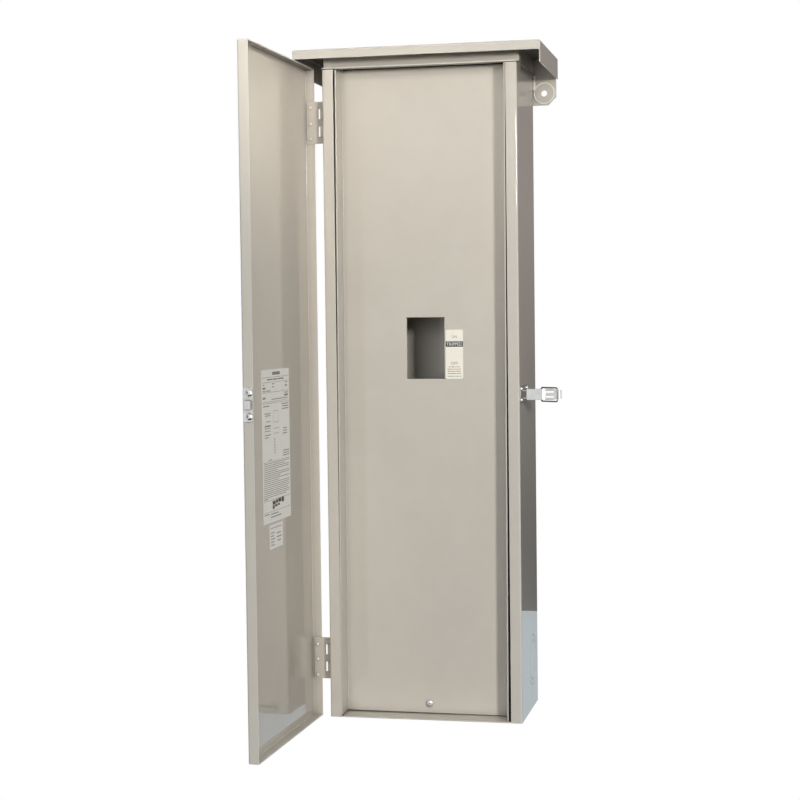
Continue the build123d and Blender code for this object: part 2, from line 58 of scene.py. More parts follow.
def spot(across, back, up):
    """A place, across from the middle, back from the flanges and up from the box's bottom."""
    return Vector((across, FLANGE_PLANE + back, BOX_BOTTOM + up)) * MM


# Node helpers

VECTOR, FLOAT = "NodeSocketVector", "NodeSocketFloat"
MIX_AMOUNT, MIX_FIRST, MIX_SECOND, MIX_RESULT = 0, 6, 7, 2   # sockets of a Mix node on colour


def srgb(red, green, blue):
    """A colour read on a screen, from 0 to 255, as the shader takes it."""
    def linear(value):
        value /= 255
        return value / 12.92 if value <= 0.04045 else ((value + 0.055) / 1.055) ** 2.4
    return (linear(red), linear(green), linear(blue), 1.0)


def add(tree, kind, **settings):
    node = tree.nodes.new(kind)
    for key, value in settings.items():
        setattr(node, key, value)
    return node


def feed(tree, value, socket):
    """Links an output to the socket, or sets a plain value on it."""
    if isinstance(value, bpy.types.NodeSocket):
        tree.links.new(value, socket)
    else:
        socket.default_value = value


def calculate(tree, operation, first, second):
    node = add(tree, "ShaderNodeMath", operation=operation)
    feed(tree, first, node.inputs[0])
    feed(tree, second, node.inputs[1])
    return node.outputs[0]


def mix_colour(tree, amount, first, second):
    node = add(tree, "ShaderNodeMix", data_type="RGBA")
    feed(tree, amount, node.inputs[MIX_AMOUNT])
    feed(tree, first, node.inputs[MIX_FIRST])
    feed(tree, second, node.inputs[MIX_SECOND])
    return node.outputs[MIX_RESULT]


def remap(tree, value, from_min, from_max, to_min=0.0, to_max=1.0):
    node = add(tree, "ShaderNodeMapRange")
    feed(tree, value, node.inputs["Value"])
    feed(tree, from_min, node.inputs["From Min"])
    feed(tree, from_max, node.inputs["From Max"])
    feed(tree, to_min, node.inputs["To Min"])
    feed(tree, to_max, node.inputs["To Max"])
    return node.outputs["Result"]


def by_mask(tree, mask, at_zero, at_one):
    """A number that follows a mask."""
    return remap(tree, mask, 0.0, 1.0, at_zero, at_one)


def noise(tree, where, scale, detail, rough=0.5):
    node = add(tree, "ShaderNodeTexNoise")
    feed(tree, where, node.inputs["Vector"])
    feed(tree, scale, node.inputs["Scale"])
    feed(tree, detail, node.inputs["Detail"])
    feed(tree, rough, node.inputs["Roughness"])
    return node.outputs["Fac"]


def object_coords(tree):
    return add(tree, "ShaderNodeTexCoord").outputs["Object"]


def new_material(name):
    """An empty material with one shader: the material, its nodes and the shader."""
    material = bpy.data.materials.new(name)
    material.use_nodes = True
    tree = material.node_tree
    tree.nodes.clear()
    output = add(tree, "ShaderNodeOutputMaterial")
    shader = add(tree, "ShaderNodeBsdfPrincipled")
    feed(tree, shader.outputs["BSDF"], output.inputs["Surface"])
    return material, tree, shader


# Effects that several finishes share

def new_group(name, takes, gives):
    """A node group with named sockets: the group, what comes in and what goes out."""
    group = bpy.data.node_groups.new(name, "ShaderNodeTree")
    for side, sockets in (("INPUT", takes), ("OUTPUT", gives)):
        for socket, kind in sockets.items():
            group.interface.new_socket(socket, in_out=side, socket_type=kind)
    return group, add(group, "NodeGroupInput").outputs, add(group, "NodeGroupOutput").inputs


def soft_edge_group():
    """Rounds every edge a little in the shading, under a fine ripple, and masks the edges."""
    group, given, result = new_group(
        "soft_edges",
        {"Vector": VECTOR, "Edge Radius": FLOAT, "Ripple Scale": FLOAT, "Ripple Depth": FLOAT},
        {"Normal": VECTOR, "Edge": FLOAT})
    bevel = add(group, "ShaderNodeBevel", samples=4)
    feed(group, given["Edge Radius"], bevel.inputs["Radius"])
    rounded = bevel.outputs["Normal"]
    ripple = noise(group, given["Vector"], given["Ripple Scale"], 2.0)
    bump = add(group, "ShaderNodeBump")
    feed(group, 1.0, bump.inputs["Strength"])
    feed(group, 1.0, bump.inputs["Distance"])
    feed(group, calculate(group, "MULTIPLY", ripple, given["Ripple Depth"]), bump.inputs["Height"])
    feed(group, rounded, bump.inputs["Normal"])
    feed(group, bump.outputs["Normal"], result["Normal"])
    agree = add(group, "ShaderNodeVectorMath", operation="DOT_PRODUCT")
    feed(group, rounded, agree.inputs[0])
    feed(group, add(group, "ShaderNodeNewGeometry").outputs["Normal"], agree.inputs[1])
    feed(group, remap(group, agree.outputs["Value"], 0.995, 0.93), result["Edge"])
    return group


def smudge_group():
    """Faint clouds of handling and dust: a mask from 0 to 1."""
    group, given, result = new_group(
        "handling_smudges", {"Vector": VECTOR, "Scale": FLOAT}, {"Mask": FLOAT})
    broad = noise(group, given["Vector"], given["Scale"], 4.0, 0.6)
    fine_scale = calculate(group, "MULTIPLY", given["Scale"], 9.0)
    fine = noise(group, given["Vector"], fine_scale, 3.0)
    both = calculate(group, "ADD", calculate(group, "MULTIPLY", broad, 0.75),
                     calculate(group, "MULTIPLY", fine, 0.25))
    feed(group, remap(group, both, 0.35, 0.65), result["Mask"])
    return group


def make_painted_shade_group():
    """Painted shade in deep seams and gaps, and on sheltered undersides: a mask from 0 to 1."""
    group, given, result = new_group(
        "painted_seam_shade", {"Reach": FLOAT, "Openness": FLOAT}, {"Mask": FLOAT})
    openness = add(group, "ShaderNodeAmbientOcclusion", samples=3)
    feed(group, given["Reach"], openness.inputs["Distance"])
    gap_shade = remap(group, openness.outputs["AO"], given["Openness"], 0.14)
    shelter = add(group, "ShaderNodeAmbientOcclusion", samples=3)
    feed(group, 70 * MM, shelter.inputs["Distance"])
    facing = add(group, "ShaderNodeSeparateXYZ")
    feed(group, add(group, "ShaderNodeNewGeometry").outputs["True Normal"], facing.inputs[0])
    underside_shade = calculate(group, "MULTIPLY",
                          remap(group, facing.outputs["Z"], -0.6, -0.95),
                          remap(group, shelter.outputs["AO"], 0.92, 0.60))
    feed(group, calculate(group, "MAXIMUM", gap_shade, underside_shade), result["Mask"])
    return group


SOFT_EDGES = soft_edge_group()
PAINTED_SHADE_GROUP = make_painted_shade_group()
SMUDGES = smudge_group()


def use_group(tree, group, **values):
    """Places a group with its values; an underscore stands for the space in a socket's name."""
    node = add(tree, "ShaderNodeGroup", node_tree=group)
    for key, value in values.items():
        feed(tree, value, node.inputs[key.replace("_", " ")])
    return node.outputs


def soften_edges(tree, shader, where, radius, ripple_scale, ripple_depth):
    """Feeds the shader's normal and gives back the mask of the edges."""
    outputs = use_group(tree, SOFT_EDGES, Vector=where, Edge_Radius=radius * MM,
                        Ripple_Scale=ripple_scale, Ripple_Depth=ripple_depth)
    feed(tree, outputs["Normal"], shader.inputs["Normal"])
    return outputs["Edge"]


def tint(tree, colour, edge, painted_edge_colour, shade_mask, shade_colour):
    """Tints a colour with painted light along the edges, and then with painted shade in the seams
    and sheltered undersides.
    """
    return mix_colour(tree, shade_mask, mix_colour(tree, edge, colour, painted_edge_colour), shade_colour)


# Finishes

# Painted highlight along the enamel's edges, painted dark reflection along the steel's edges, and
# painted shade in seams, gaps and sheltered undersides
PAINTED_EDGE_HIGHLIGHT, ENAMEL_PAINTED_SHADE = srgb(254, 251, 243), srgb(44, 42, 38)
STEEL_PAINTED_DARK_EDGE, STEEL_PAINTED_SHADE = srgb(84, 84, 82), srgb(38, 38, 37)


def baked_enamel(name, dark, light):
    """Glossy enamel, with a painted highlight along its edges, and painted shade, less glossy, in
    seams and on sheltered undersides.
    """
    material, tree, shader = new_material(name)
    where = object_coords(tree)
    smudge = use_group(tree, SMUDGES, Vector=where, Scale=5.0)["Mask"]
    edge = soften_edges(tree, shader, where, radius=0.7, ripple_scale=500.0,
                        ripple_depth=0.0000015)
    # Painted shade in seams and on sheltered undersides, with less coat there
    shade_mask = use_group(tree, PAINTED_SHADE_GROUP, Reach=22 * MM, Openness=0.42)["Mask"]
    # Painted highlight along the edges
    edge_highlight = calculate(tree, "MULTIPLY", edge, 0.9)
    colour = tint(tree, mix_colour(tree, smudge, dark, light), edge_highlight, PAINTED_EDGE_HIGHLIGHT, shade_mask, ENAMEL_PAINTED_SHADE)
    feed(tree, colour, shader.inputs["Base Color"])
    feed(tree, by_mask(tree, smudge, 0.30, 0.38), shader.inputs["Roughness"])
    feed(tree, by_mask(tree, shade_mask, 1.0, 0.3), shader.inputs["Coat Weight"])
    shader.inputs["Specular IOR Level"].default_value = 0.1
    shader.inputs["Coat Roughness"].default_value = 0.012
    return material


def plated_steel(name, dark, light, rough, edge_radius=0.3):
    """Bright plated steel, with a painted dark reflection round its edges and painted shade where
    pieces meet.
    """
    material, tree, shader = new_material(name)
    where = object_coords(tree)
    smudge = use_group(tree, SMUDGES, Vector=where, Scale=70.0)["Mask"]
    edge = soften_edges(tree, shader, where, radius=edge_radius, ripple_scale=900.0,
                        ripple_depth=0.000003)
    shade_mask = use_group(tree, PAINTED_SHADE_GROUP, Reach=7 * MM, Openness=0.85)["Mask"]
    # Painted dark reflection along the edges
    dark_edge = calculate(tree, "MULTIPLY", edge, 0.8)
    colour = tint(tree, mix_colour(tree, smudge, dark, light), dark_edge, STEEL_PAINTED_DARK_EDGE, shade_mask, STEEL_PAINTED_SHADE)
    feed(tree, colour, shader.inputs["Base Color"])
    feed(tree, by_mask(tree, smudge, rough, rough + 0.1), shader.inputs["Roughness"])
    shader.inputs["Metallic"].default_value = 1.0
    return material


def plain_sheet(name, dark, light, rough):
    """Vinyl, paper or the black of the painted shadow strip, faintly clouded."""
    material, tree, shader = new_material(name)
    where = object_coords(tree)
    smudge = use_group(tree, SMUDGES, Vector=where, Scale=60.0)["Mask"]
    feed(tree, mix_colour(tree, smudge, dark, light), shader.inputs["Base Color"])
    shader.inputs["Roughness"].default_value = rough
    soften_edges(tree, shader, where, radius=0.1, ripple_scale=1200.0, ripple_depth=0.000002)
    return material


def print_ink(name, colour, paler):
    """Ink with fine paler specks."""
    material, tree, shader = new_material(name)
    speck = remap(tree, noise(tree, object_coords(tree), 1500.0, 2.0), 0.4, 0.6)
    feed(tree, mix_colour(tree, speck, colour, paler), shader.inputs["Base Color"])
    shader.inputs["Roughness"].default_value = 0.45
    return material


ENAMEL = baked_enamel("baked_enamel", srgb(203, 195, 183), srgb(209, 201, 189))
# A paler copy of the enamel, as a painted highlight on the small raised pieces
HIGHLIGHT_ENAMEL = baked_enamel("painted_highlight_enamel", srgb(240, 235, 222), srgb(250, 246, 236))
STEEL = plated_steel("plated_steel", srgb(214, 214, 213), srgb(232, 232, 230), rough=0.16,
                     edge_radius=0.9)
POLISHED = plated_steel("polished_heads", srgb(205, 205, 205), srgb(232, 232, 232), rough=0.10)
WIRE = plated_steel("wire_steel", srgb(104, 105, 106), srgb(150, 151, 152), rough=0.28)
PIN = plated_steel("pin_steel", srgb(120, 121, 120), srgb(150, 150, 148), rough=0.3)
VINYL = plain_sheet("vinyl_decal", srgb(250, 244, 228), srgb(254, 249, 236), rough=0.35)
PAPER = plain_sheet("label_paper", srgb(249, 246, 239), srgb(254, 252, 246), rough=0.4)
# Black for the strip under the top lip, a painted shadow
SHADE_STRIP_BLACK = plain_sheet("painted_shade_black", srgb(20, 20, 19), srgb(34, 33, 32), rough=0.8)
GREY_INK = print_ink("grey_ink", srgb(120, 116, 112), srgb(150, 146, 141))
BLACK_INK = print_ink("black_ink", srgb(24, 22, 20), srgb(38, 36, 34))
RED_INK = print_ink("red_ink", srgb(200, 120, 96), srgb(216, 146, 122))
WHITE_INK = print_ink("white_ink", srgb(246, 243, 236), srgb(255, 252, 246))

# Every solid that isn't named here is enamelled
SOLID_FINISHES = {
    "switch_decal": VINYL,
    "door_label_large": PAPER,
    "door_label_small": PAPER,
    "latch_base": STEEL,
    "latch_pin": PIN,
    "latch_lever": STEEL,
    "keeper": STEEL,
    "trim_screw": POLISHED,
    "latch_base_rivets": POLISHED,
    "keeper_rivets": POLISHED,
    "latch_bail": WIRE,
}
for name, node in nodes.items():
    node.data.materials.clear()
    node.data.materials.append(SOLID_FINISHES.get(name, ENAMEL))


# Modelling helpers

TO_RIGHT = Matrix.Rotation(pi / 2, 4, "Y")   # turns Z to +X
TO_FRONT = Matrix.Rotation(pi / 2, 4, "X")   # turns Z to -Y
UPRIGHT = Matrix.Identity(4)


def pick(piece):
    """Makes a piece the active and selected one."""
    bpy.context.view_layer.objects.active = piece
    piece.select_set(True)


def finish_piece(piece, name, material, body, replaced=(), smooth=None):
    """Names a piece, gives it its finish, and hangs it on its body."""
    piece.name = name
    piece.data.materials.clear()
    piece.data.materials.append(material)
    pick(piece)
    if smooth is not None:
        bpy.ops.object.shade_smooth_by_angle(angle=radians(smooth))
    piece.select_set(False)
    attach(piece, body)
    if replaced:
        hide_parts(*replaced)


def turned(profile, sides):
    """A turned shape about Z: a disc drawn up through (radius, height) steps."""
    radius, height = profile[0]
    bpy.ops.mesh.primitive_circle_add(vertices=sides, radius=radius * MM, fill_type="NGON",
                                      location=(0, 0, height * MM))
    piece = bpy.context.object
    bpy.ops.object.transform_apply(location=True, rotation=False, scale=False)
    bpy.ops.object.mode_set(mode="EDIT")
    bpy.ops.mesh.select_mode(type="FACE")
    bpy.ops.mesh.select_all(action="SELECT")
    for wider, higher in profile[1:]:
        bpy.ops.mesh.extrude_region_move(
            TRANSFORM_OT_translate={"value": (0, 0, (higher - height) * MM)})
        bpy.ops.transform.resize(value=(wider / radius, wider / radius, 1))
        radius, height = wider, higher
    bpy.ops.mesh.select_all(action="SELECT")
    bpy.ops.mesh.normals_make_consistent(inside=False)
    bpy.ops.object.mode_set(mode="OBJECT")
    piece.select_set(False)
    return piece


def repeat(piece, places):
    """The piece at every place, joined into one mesh with one copy for each place."""
    made = []
    for place in places[:-1]:
        twin = piece.copy()
        twin.data = piece.data.copy()
        bpy.context.scene.collection.objects.link(twin)
        twin.data.transform(place)
        made.append(twin)
    piece.data.transform(places[-1])
    for twin in made:
        twin.select_set(True)
    pick(piece)
    bpy.ops.object.join()
    piece.select_set(False)


def aimed(turn, place):
    """Turns a piece and moves it to the place."""
    return Matrix.Translation(place) @ turn


def bars(spans, thickness):
    """Flat slabs in the XZ plane as one piece, each (left, right, low, high)."""
    made = []
    for left, right, low, high in spans:
        middle = ((left + right) / 2 * MM, 0, (low + high) / 2 * MM)
        bpy.ops.mesh.primitive_cube_add(size=1, location=middle)
        bar = bpy.context.object
        bar.scale = ((right - left) * MM, thickness * MM, (high - low) * MM)
        made.append(bar)
    for bar in made:
        bar.select_set(True)
    bpy.context.view_layer.objects.active = made[0]
    bpy.ops.object.transform_apply(location=True, rotation=True, scale=True)
    if len(made) > 1:
        bpy.ops.object.join()
    piece = bpy.context.object
    piece.select_set(False)
    return piece


def ease_edges(piece, radius):
    """Rounds all edges of a piece a little."""
    pick(piece)
    bpy.ops.object.mode_set(mode="EDIT")
    bpy.ops.mesh.select_all(action="SELECT")
    bpy.ops.mesh.bevel(offset=radius * MM, segments=3, affect="EDGES")
    bpy.ops.object.mode_set(mode="OBJECT")
    piece.select_set(False)


def word(text, height, width, thickness, place):
    """A word in the XZ plane, facing the front, fitted to a height and a width."""
    bpy.ops.object.text_add()
    line = bpy.context.object.data
    line.body = text
    line.align_x = "CENTER"
    line.align_y = "CENTER"
    line.extrude = 0.5   # any thickness will do here, as the word is fitted below
    bpy.ops.object.convert(target="MESH")
    piece = bpy.context.object
    size = piece.dimensions.copy()
    piece.data.transform(Matrix.Diagonal((width * MM / size.x, height * MM / size.y,
                                          thickness * MM / size.z, 1)))
    low = [min(v.co[i] for v in piece.data.vertices) for i in range(3)]
    high = [max(v.co[i] for v in piece.data.vertices) for i in range(3)]
    middle = Vector([(a + b) / 2 for a, b in zip(low, high)])
    piece.data.transform(aimed(TO_FRONT, place) @ Matrix.Translation(-middle))
    piece.select_set(False)
    return piece


# Rivets and the screw, turned from (radius, height) steps

KEEPER_RIVET = [(1.9, -4.4), (1.9, 0), (4.3, 0), (4.3, 0.35), (4.15, 0.95), (3.75, 1.6),
                (3.1, 2.2), (2.2, 2.65), (1.1, 2.92), (0.25, 3.0)]
LATCH_RIVET = [(1.9, -4.4), (1.9, 0), (2.8, 0), (2.8, 0.3), (2.65, 0.85), (2.2, 1.35),
               (1.5, 1.7), (0.7, 1.86), (0.15, 1.9)]
TRIM_SCREW = [(2.2, -12), (2.4, -11), (2.4, 0), (5.2, 0), (5.2, 0.5), (5.0, 1.2), (4.4, 1.85),
              (3.4, 2.35), (2.0, 2.65), (0.8, 2.75)]
SLOT_SIZE = (14, 1.3, 3.0)   # of the cutter, which reaches past the screw's head
SLOT_LEVEL, SLOT_TURN = 3.25, radians(12)
KEEPER_FACE = 143.1      # the keeper's outer face on the shut door, from the middle
BASE_THICKNESS = 1.5     # of the latch's base on the wall


def keeper_heads():
    rivet = turned(KEEPER_RIVET, sides=40)
    repeat(rivet, [TO_OPEN_DOOR @ aimed(TO_RIGHT, spot(KEEPER_FACE, 1.9, LATCH_LEVEL + rise))
                   for rise in (-14.75, 14.75)])
    finish_piece(rivet, "keeper_dome_rivets", POLISHED, "door",
                 ["keeper_rivets"], smooth=40)


def latch_heads():
    rivet = turned(LATCH_RIVET, sides=28)
    repeat(rivet, [aimed(TO_RIGHT, spot(WALL_FACE + BASE_THICKNESS, back, LATCH_LEVEL + rise))
                   for back in (7, 59) for rise in (-7.4, 7.4)])
    finish_piece(rivet, "latch_dome_rivets", POLISHED, "enclosure",
                 ["latch_base_rivets"], smooth=40)


def slotted_screw():
    screw = turned(TRIM_SCREW, sides=40)
    bpy.ops.mesh.primitive_cube_add(size=1)
    cutter = bpy.context.object
    length, width, depth = SLOT_SIZE
    cutter.data.transform(Matrix.Translation((0, 0, SLOT_LEVEL * MM))
                          @ Matrix.Rotation(SLOT_TURN, 4, "Z")
                          @ Matrix.Diagonal((length * MM, width * MM, depth * MM, 1)))
    cutter.select_set(False)
    cut = screw.modifiers.new("slot", "BOOLEAN")
    cut.operation = "DIFFERENCE"
    cut.solver = "EXACT"
    cut.object = cutter
    pick(screw)
    bpy.ops.object.modifier_apply(modifier="slot")
    screw.select_set(False)
    bpy.data.objects.remove(cutter)
    screw.data.transform(aimed(TO_FRONT, spot(-1.4, TRIM_FACE, 15.4)))
    finish_piece(screw, "slotted_trim_screw", POLISHED, "enclosure",
                 ["trim_screw"], smooth=35)


# Round wire of the latch's bail

BAIL_REACH = 28.9        # from the pivot to the far side of the loop
BAIL_HALF = 9.2          # half the loop's height
BAIL_STUB = 5.3          # the wire's ends, from the middle
END_BEND, STUB_BEND = 2.5, 1.6
HANDLE = 1 - 0.5523      # where a round bend's handle stands, as a share of its radius
WIRE_RADIUS = 1.0
BAIL_REST = radians(-35)


def wire_bail():
    stub_handle = STUB_BEND * HANDLE
    end_handle = END_BEND * HANDLE
    half_loop = [   # place, handle before, handle after
        ((0, BAIL_STUB), None, None),
        ((0, BAIL_HALF - STUB_BEND), None, (0, BAIL_HALF - stub_handle)),
        ((STUB_BEND, BAIL_HALF), (stub_handle, BAIL_HALF), None),
        ((BAIL_REACH - END_BEND, BAIL_HALF), None, (BAIL_REACH - end_handle, BAIL_HALF)),
        ((BAIL_REACH, BAIL_HALF - END_BEND), (BAIL_REACH, BAIL_HALF - end_handle), None),
    ]
    other_half = [((u, -v), after and (after[0], -after[1]), before and (before[0], -before[1]))
                  for (u, v), before, after in reversed(half_loop)]
    loop = half_loop + other_half
    curve = bpy.data.curves.new("bail_line", "CURVE")
    curve.dimensions = "3D"
    curve.bevel_depth = WIRE_RADIUS * MM
    curve.bevel_resolution = 5
    curve.resolution_u = 8
    curve.use_fill_caps = True
    line = curve.splines.new("BEZIER")
    line.bezier_points.add(len(loop) - 1)
    for knot, (place, before, after) in zip(line.bezier_points, loop):
        knot.handle_left_type = "FREE" if before else "VECTOR"
        knot.handle_right_type = "FREE" if after else "VECTOR"
        knot.co = (place[0] * MM, 0, place[1] * MM)
        if before:
            knot.handle_left = (before[0] * MM, 0, before[1] * MM)
        if after:
            knot.handle_right = (after[0] * MM, 0, after[1] * MM)
    wire = bpy.data.objects.new("bail", curve)
    bpy.context.scene.collection.objects.link(wire)
    pick(wire)
    bpy.ops.object.convert(target="MESH")
    wire = bpy.context.object
    wire.select_set(False)
    pivot = spot(162.3, 13.1, LATCH_LEVEL)
    wire.data.transform(aimed(Matrix.Rotation(BAIL_REST, 4, "Z"), pivot))
    finish_piece(wire, "wire_bail", WIRE, "latch_bail", ["latch_bail"], smooth=50)


# Rolled rims round the ear holes, and the weld beads between walls and ears, in a paler copy of
# the enamel as a painted highlight

BEAD_RIPPLES, BEAD_PITCH, BEAD_LENGTH = 13, 1.65, 21.7


def ear_rims():
    bpy.ops.mesh.primitive_torus_add(major_segments=72, minor_segments=12,
                                     major_radius=14.3 * MM, minor_radius=1.15 * MM)
    rim = bpy.context.object
    rim.data.transform(Matrix.Diagonal((1, 1, 0.75, 1)))
    rim.select_set(False)
    repeat(rim, [aimed(TO_FRONT, spot(side, 154.7, EAR_LEVEL))
                 for side in (-EAR_HOLE_SIDE, EAR_HOLE_SIDE)])
    finish_piece(rim, "ear_rolled_rims", HIGHLIGHT_ENAMEL, "enclosure", smooth=60)


def weld_beads():
    profile = [(0.6, 0)]
    for ripple in range(BEAD_RIPPLES):
        start = 0.5 + BEAD_PITCH * ripple
        profile += [(2.5, start), (2.9, start + 0.55), (2.55, start + 1.2)]
    profile.append((0.6, BEAD_LENGTH))
    bead = turned(profile, sides=16)
    repeat(bead, [aimed(UPRIGHT, spot(side, 153.6, 870.6)) for side in (-135.6, 135.6)])
    finish_piece(bead, "ear_weld_beads", HIGHLIGHT_ENAMEL, "enclosure", ["ear_welds"],
                 smooth=60)


# Black strip along the top of the trim's face, behind the top lip: a painted shadow for the dark
# gap under the lip

def lip_shade_strip():
    strip = bars([(-112.5, 110.5, -0.8, 0.8)], thickness=2.5)
    ease_edges(strip, radius=0.35)
    strip.data.transform(Matrix.Translation(spot(0, 33.8, 894.6)))
    finish_piece(strip, "lip_shade_strip", SHADE_STRIP_BLACK, "enclosure")


# Small domes pressed into the hinge leaves, in a paler copy of the enamel as a painted highlight

HINGE_DIMPLE = [(2.2, -0.3), (2.2, 0.1), (2.0, 0.6), (1.6, 1.0), (1.0, 1.25), (0.2, 1.35)]


def hinge_dimples(name, levels, across):
    dome = turned(HINGE_DIMPLE, sides=20)
    repeat(dome, [aimed(TO_FRONT, spot(across, 18.9, level)) for level in levels])
    finish_piece(dome, name, HIGHLIGHT_ENAMEL, "door", smooth=60)


# Print on the decal, in millimetres from its middle line and its top

PRINT_THICKNESS = 0.05
DECAL_MIDDLE, DECAL_TOP = 39.3, 535.2
DECAL_FACE = TRIM_FACE - 0.2
BAND_DOWN = 20.1
LINE_HALF = 0.45         # half the height of a printed line


def on_decal(down):
    return spot(DECAL_MIDDLE, DECAL_FACE, DECAL_TOP - down)


def decal_word(text, height, width, down, ink, thickness=PRINT_THICKNESS, forward=0.0):
    place = on_decal(down) - Vector((0, forward * MM, 0))
    piece = word(text, height, width, thickness, place)
    finish_piece(piece, "decal_word_" + text.lower(), ink, "enclosure")


def decal_lines(name, rows, ink):
    """Lines of small print, each row as its distance down and its (left, right) pieces."""
    lines = bars([(left, right, -down - LINE_HALF, -down + LINE_HALF)
                  for down, row in rows for left, right in row], PRINT_THICKNESS)
    lines.data.transform(Matrix.Translation(on_decal(0)))
    finish_piece(lines, name, ink, "enclosure")


def decal_print():
    band = bars([(-12.1, 12.1, -3.7, 3.7)], PRINT_THICKNESS)
    ease_edges(band, radius=0.02)
    band.data.transform(Matrix.Translation(on_decal(BAND_DOWN)))
    finish_piece(band, "decal_band", BLACK_INK, "enclosure")
    decal_word("TRIPPED", 4.5, 21.8, BAND_DOWN, WHITE_INK, thickness=0.06, forward=0.04)
    decal_word("ON", 3.5, 6.8, 10.0, GREY_INK)
    decal_word("OFF", 4.0, 10.2, 46.4, GREY_INK)
    decal_lines("decal_small_lines", (
        (51.4, [(-8.0, -5.8), (-4.6, 0.6)]),
        (54.5, [(-9.8, -5.4), (-4.6, -1.6)]),
        (57.5, [(-9.6, -4.6), (-3.9, 1.2), (2.0, 8.6)]),
        (60.6, [(-9.4, -6.0), (-5.2, 2.4), (3.2, 8.8)]),
        (64.2, [(-9.6, -3.2), (-2.4, 1.0), (1.8, 6.2), (7.2, 9.6)]),
    ), GREY_INK)
    decal_lines("decal_red_lines", (
        (51.4, [(1.4, 7.6)]),
        (54.5, [(-0.8, 8.8)]),
    ), RED_INK)


# Print on the door labels: marks as (left, right, down, tall) from the top left corner, as read

LABEL_FACE = -5.8        # the labels' face on the shut door, from the flanges
LARGE_LABEL_CORNER = (70.4, 487.3)
SMALL_LABEL_CORNER = (46.0, 285.0)

RULE_LEVELS = (9.9, 16.4, 29.4, 41.5, 43.6, 119.5, 169.5, 184.5)
HEADING_MARKS = [
    (44, 76, 3.4, 4.0), (22, 44, 12.2, 1.7), (46, 66, 12.2, 1.7), (68, 92, 12.2, 1.7),
]
TABLE_MARKS = [
    (3, 10, 19.0, 1.0), (3, 15, 22.6, 2.6), (3, 14, 27.0, 1.3), (18, 36, 27.0, 1.3),
    (42, 52, 18.4, 1.1), (42, 50, 22.4, 1.1), (98, 108, 18.0, 1.1), (98, 106, 21.6, 2.0),
    (3, 15, 35.4, 2.4), (94, 112, 31.6, 1.2), (94, 110, 34.2, 2.6), (40, 110, 38.6, 1.0),
    (4, 30, 46.6, 1.2), (82, 112, 46.2, 1.2), (84, 112, 49.4, 1.2), (84, 112, 52.6, 1.2),
    (10, 34, 56.4, 1.2), (12, 34, 59.0, 1.2), (16, 34, 66.8, 1.0), (10, 34, 72.0, 2.0),
    (10, 34, 75.6, 1.0), (10, 34, 79.0, 1.0), (10, 34, 84.0, 1.2), (10, 26, 87.2, 1.2),
    (86, 104, 78.6, 1.2), (86, 104, 82.0, 1.2), (86, 104, 85.4, 1.2), (86, 112, 108.4, 1.2),
    (86, 112, 111.6, 1.2), (84, 112, 114.6, 1.2), (24, 38, 117.0, 1.0), (46, 66, 54.2, 0.5),
    (46, 66, 69.0, 0.5), (46, 70, 77.0, 0.5), (46, 70, 83.4, 0.5), (3, 24, 186.6, 1.2),
    (30, 62, 187.6, 1.3), (30, 74, 191.4, 1.3), (3, 20, 167.0, 1.0),
]
FRAME_SIDES = [(46.0, 46.5, 54.2, 14.8), (66.0, 66.5, 54.2, 14.8)]
ROW_ENDS = (112, 92, 110, 108, 60, 112, 111, 74, 112, 66, 112, 111, 110, 112, 104, 112, 111, 96)
CODE_BLOCKS = [
    (38, 50, 171.6, 5.0), (52, 60, 170.8, 5.0), (62, 74, 170.2, 5.0), (76, 86, 169.8, 6.4),
    (38, 46, 177.4, 4.6), (48, 58, 177.0, 2.8), (60, 68, 176.4, 2.8),
]
SMALL_LABEL_LINES = [
    (4, 50, 4.0, 1.0), (4, 20, 10.0, 1.2), (4, 16, 14.0, 1.2), (4, 22, 18.0, 1.2),
    (4, 18, 22.0, 1.2), (4, 20, 26.0, 1.2), (28, 46, 12.0, 1.4), (28, 50, 17.0, 1.4),
    (32, 46, 22.0, 1.4),
]


def door_print(name, marks, corner, ink):
    side, top = corner
    piece = bars([(side - right, side - left, top - down - tall, top - down)
                  for left, right, down, tall in marks], PRINT_THICKNESS)
    piece.data.transform(TO_OPEN_DOOR @ Matrix.Translation(spot(0, LABEL_FACE, 0)))
    finish_piece(piece, name, ink, "door")


def label_print():
    rules = [(1.2, 114.8, down, 0.45) for down in RULE_LEVELS]
    column = [(49.4, 52.2, 90 + 3.6 * step, 2.2) for step in range(6)]
    text_rows = [(3.2, end, 121.4 + 2.55 * row, 0.8) for row, end in enumerate(ROW_ENDS)]
    door_print("label_rules", rules + HEADING_MARKS + TABLE_MARKS + FRAME_SIDES + column
               + text_rows, LARGE_LABEL_CORNER, GREY_INK)
    door_print("label_code_blocks", CODE_BLOCKS, LARGE_LABEL_CORNER, BLACK_INK)
    door_print("small_label_lines", SMALL_LABEL_LINES, SMALL_LABEL_CORNER, GREY_INK)


keeper_heads()
latch_heads()
slotted_screw()
wire_bail()
ear_rims()
lip_shade_strip()
weld_beads()
hinge_dimples("upper_hinge_dimples", (842.9, 820.9, 799.7), -156.2)
hinge_dimples("lower_hinge_dimples", (97.2, 76.5, 54.1), -156.8)
decal_print()
label_print()


# Stage: a pale floor well below the box, white surroundings, cards to reflect and soft lamps.
# From here on, plain numbers are metres.

WHITE = (1, 1, 1, 1)
LYING = (0, 0, 0)


def standing(turn):
    """A sheet stood up, and turned about the vertical by so many degrees."""
    return (radians(90), 0, radians(turn))


def grey(shade):
    return (shade, shade, shade, 1)


def seen_directly(tree):
    """1 for what the camera, a gloss or a glass sees, and 0 for what lights the object."""
    path = add(tree, "ShaderNodeLightPath")
    direct = calculate(tree, "MAXIMUM", path.outputs["Is Camera Ray"],
                       path.outputs["Is Glossy Ray"])
    return calculate(tree, "MAXIMUM", direct, path.outputs["Is Transmission Ray"])


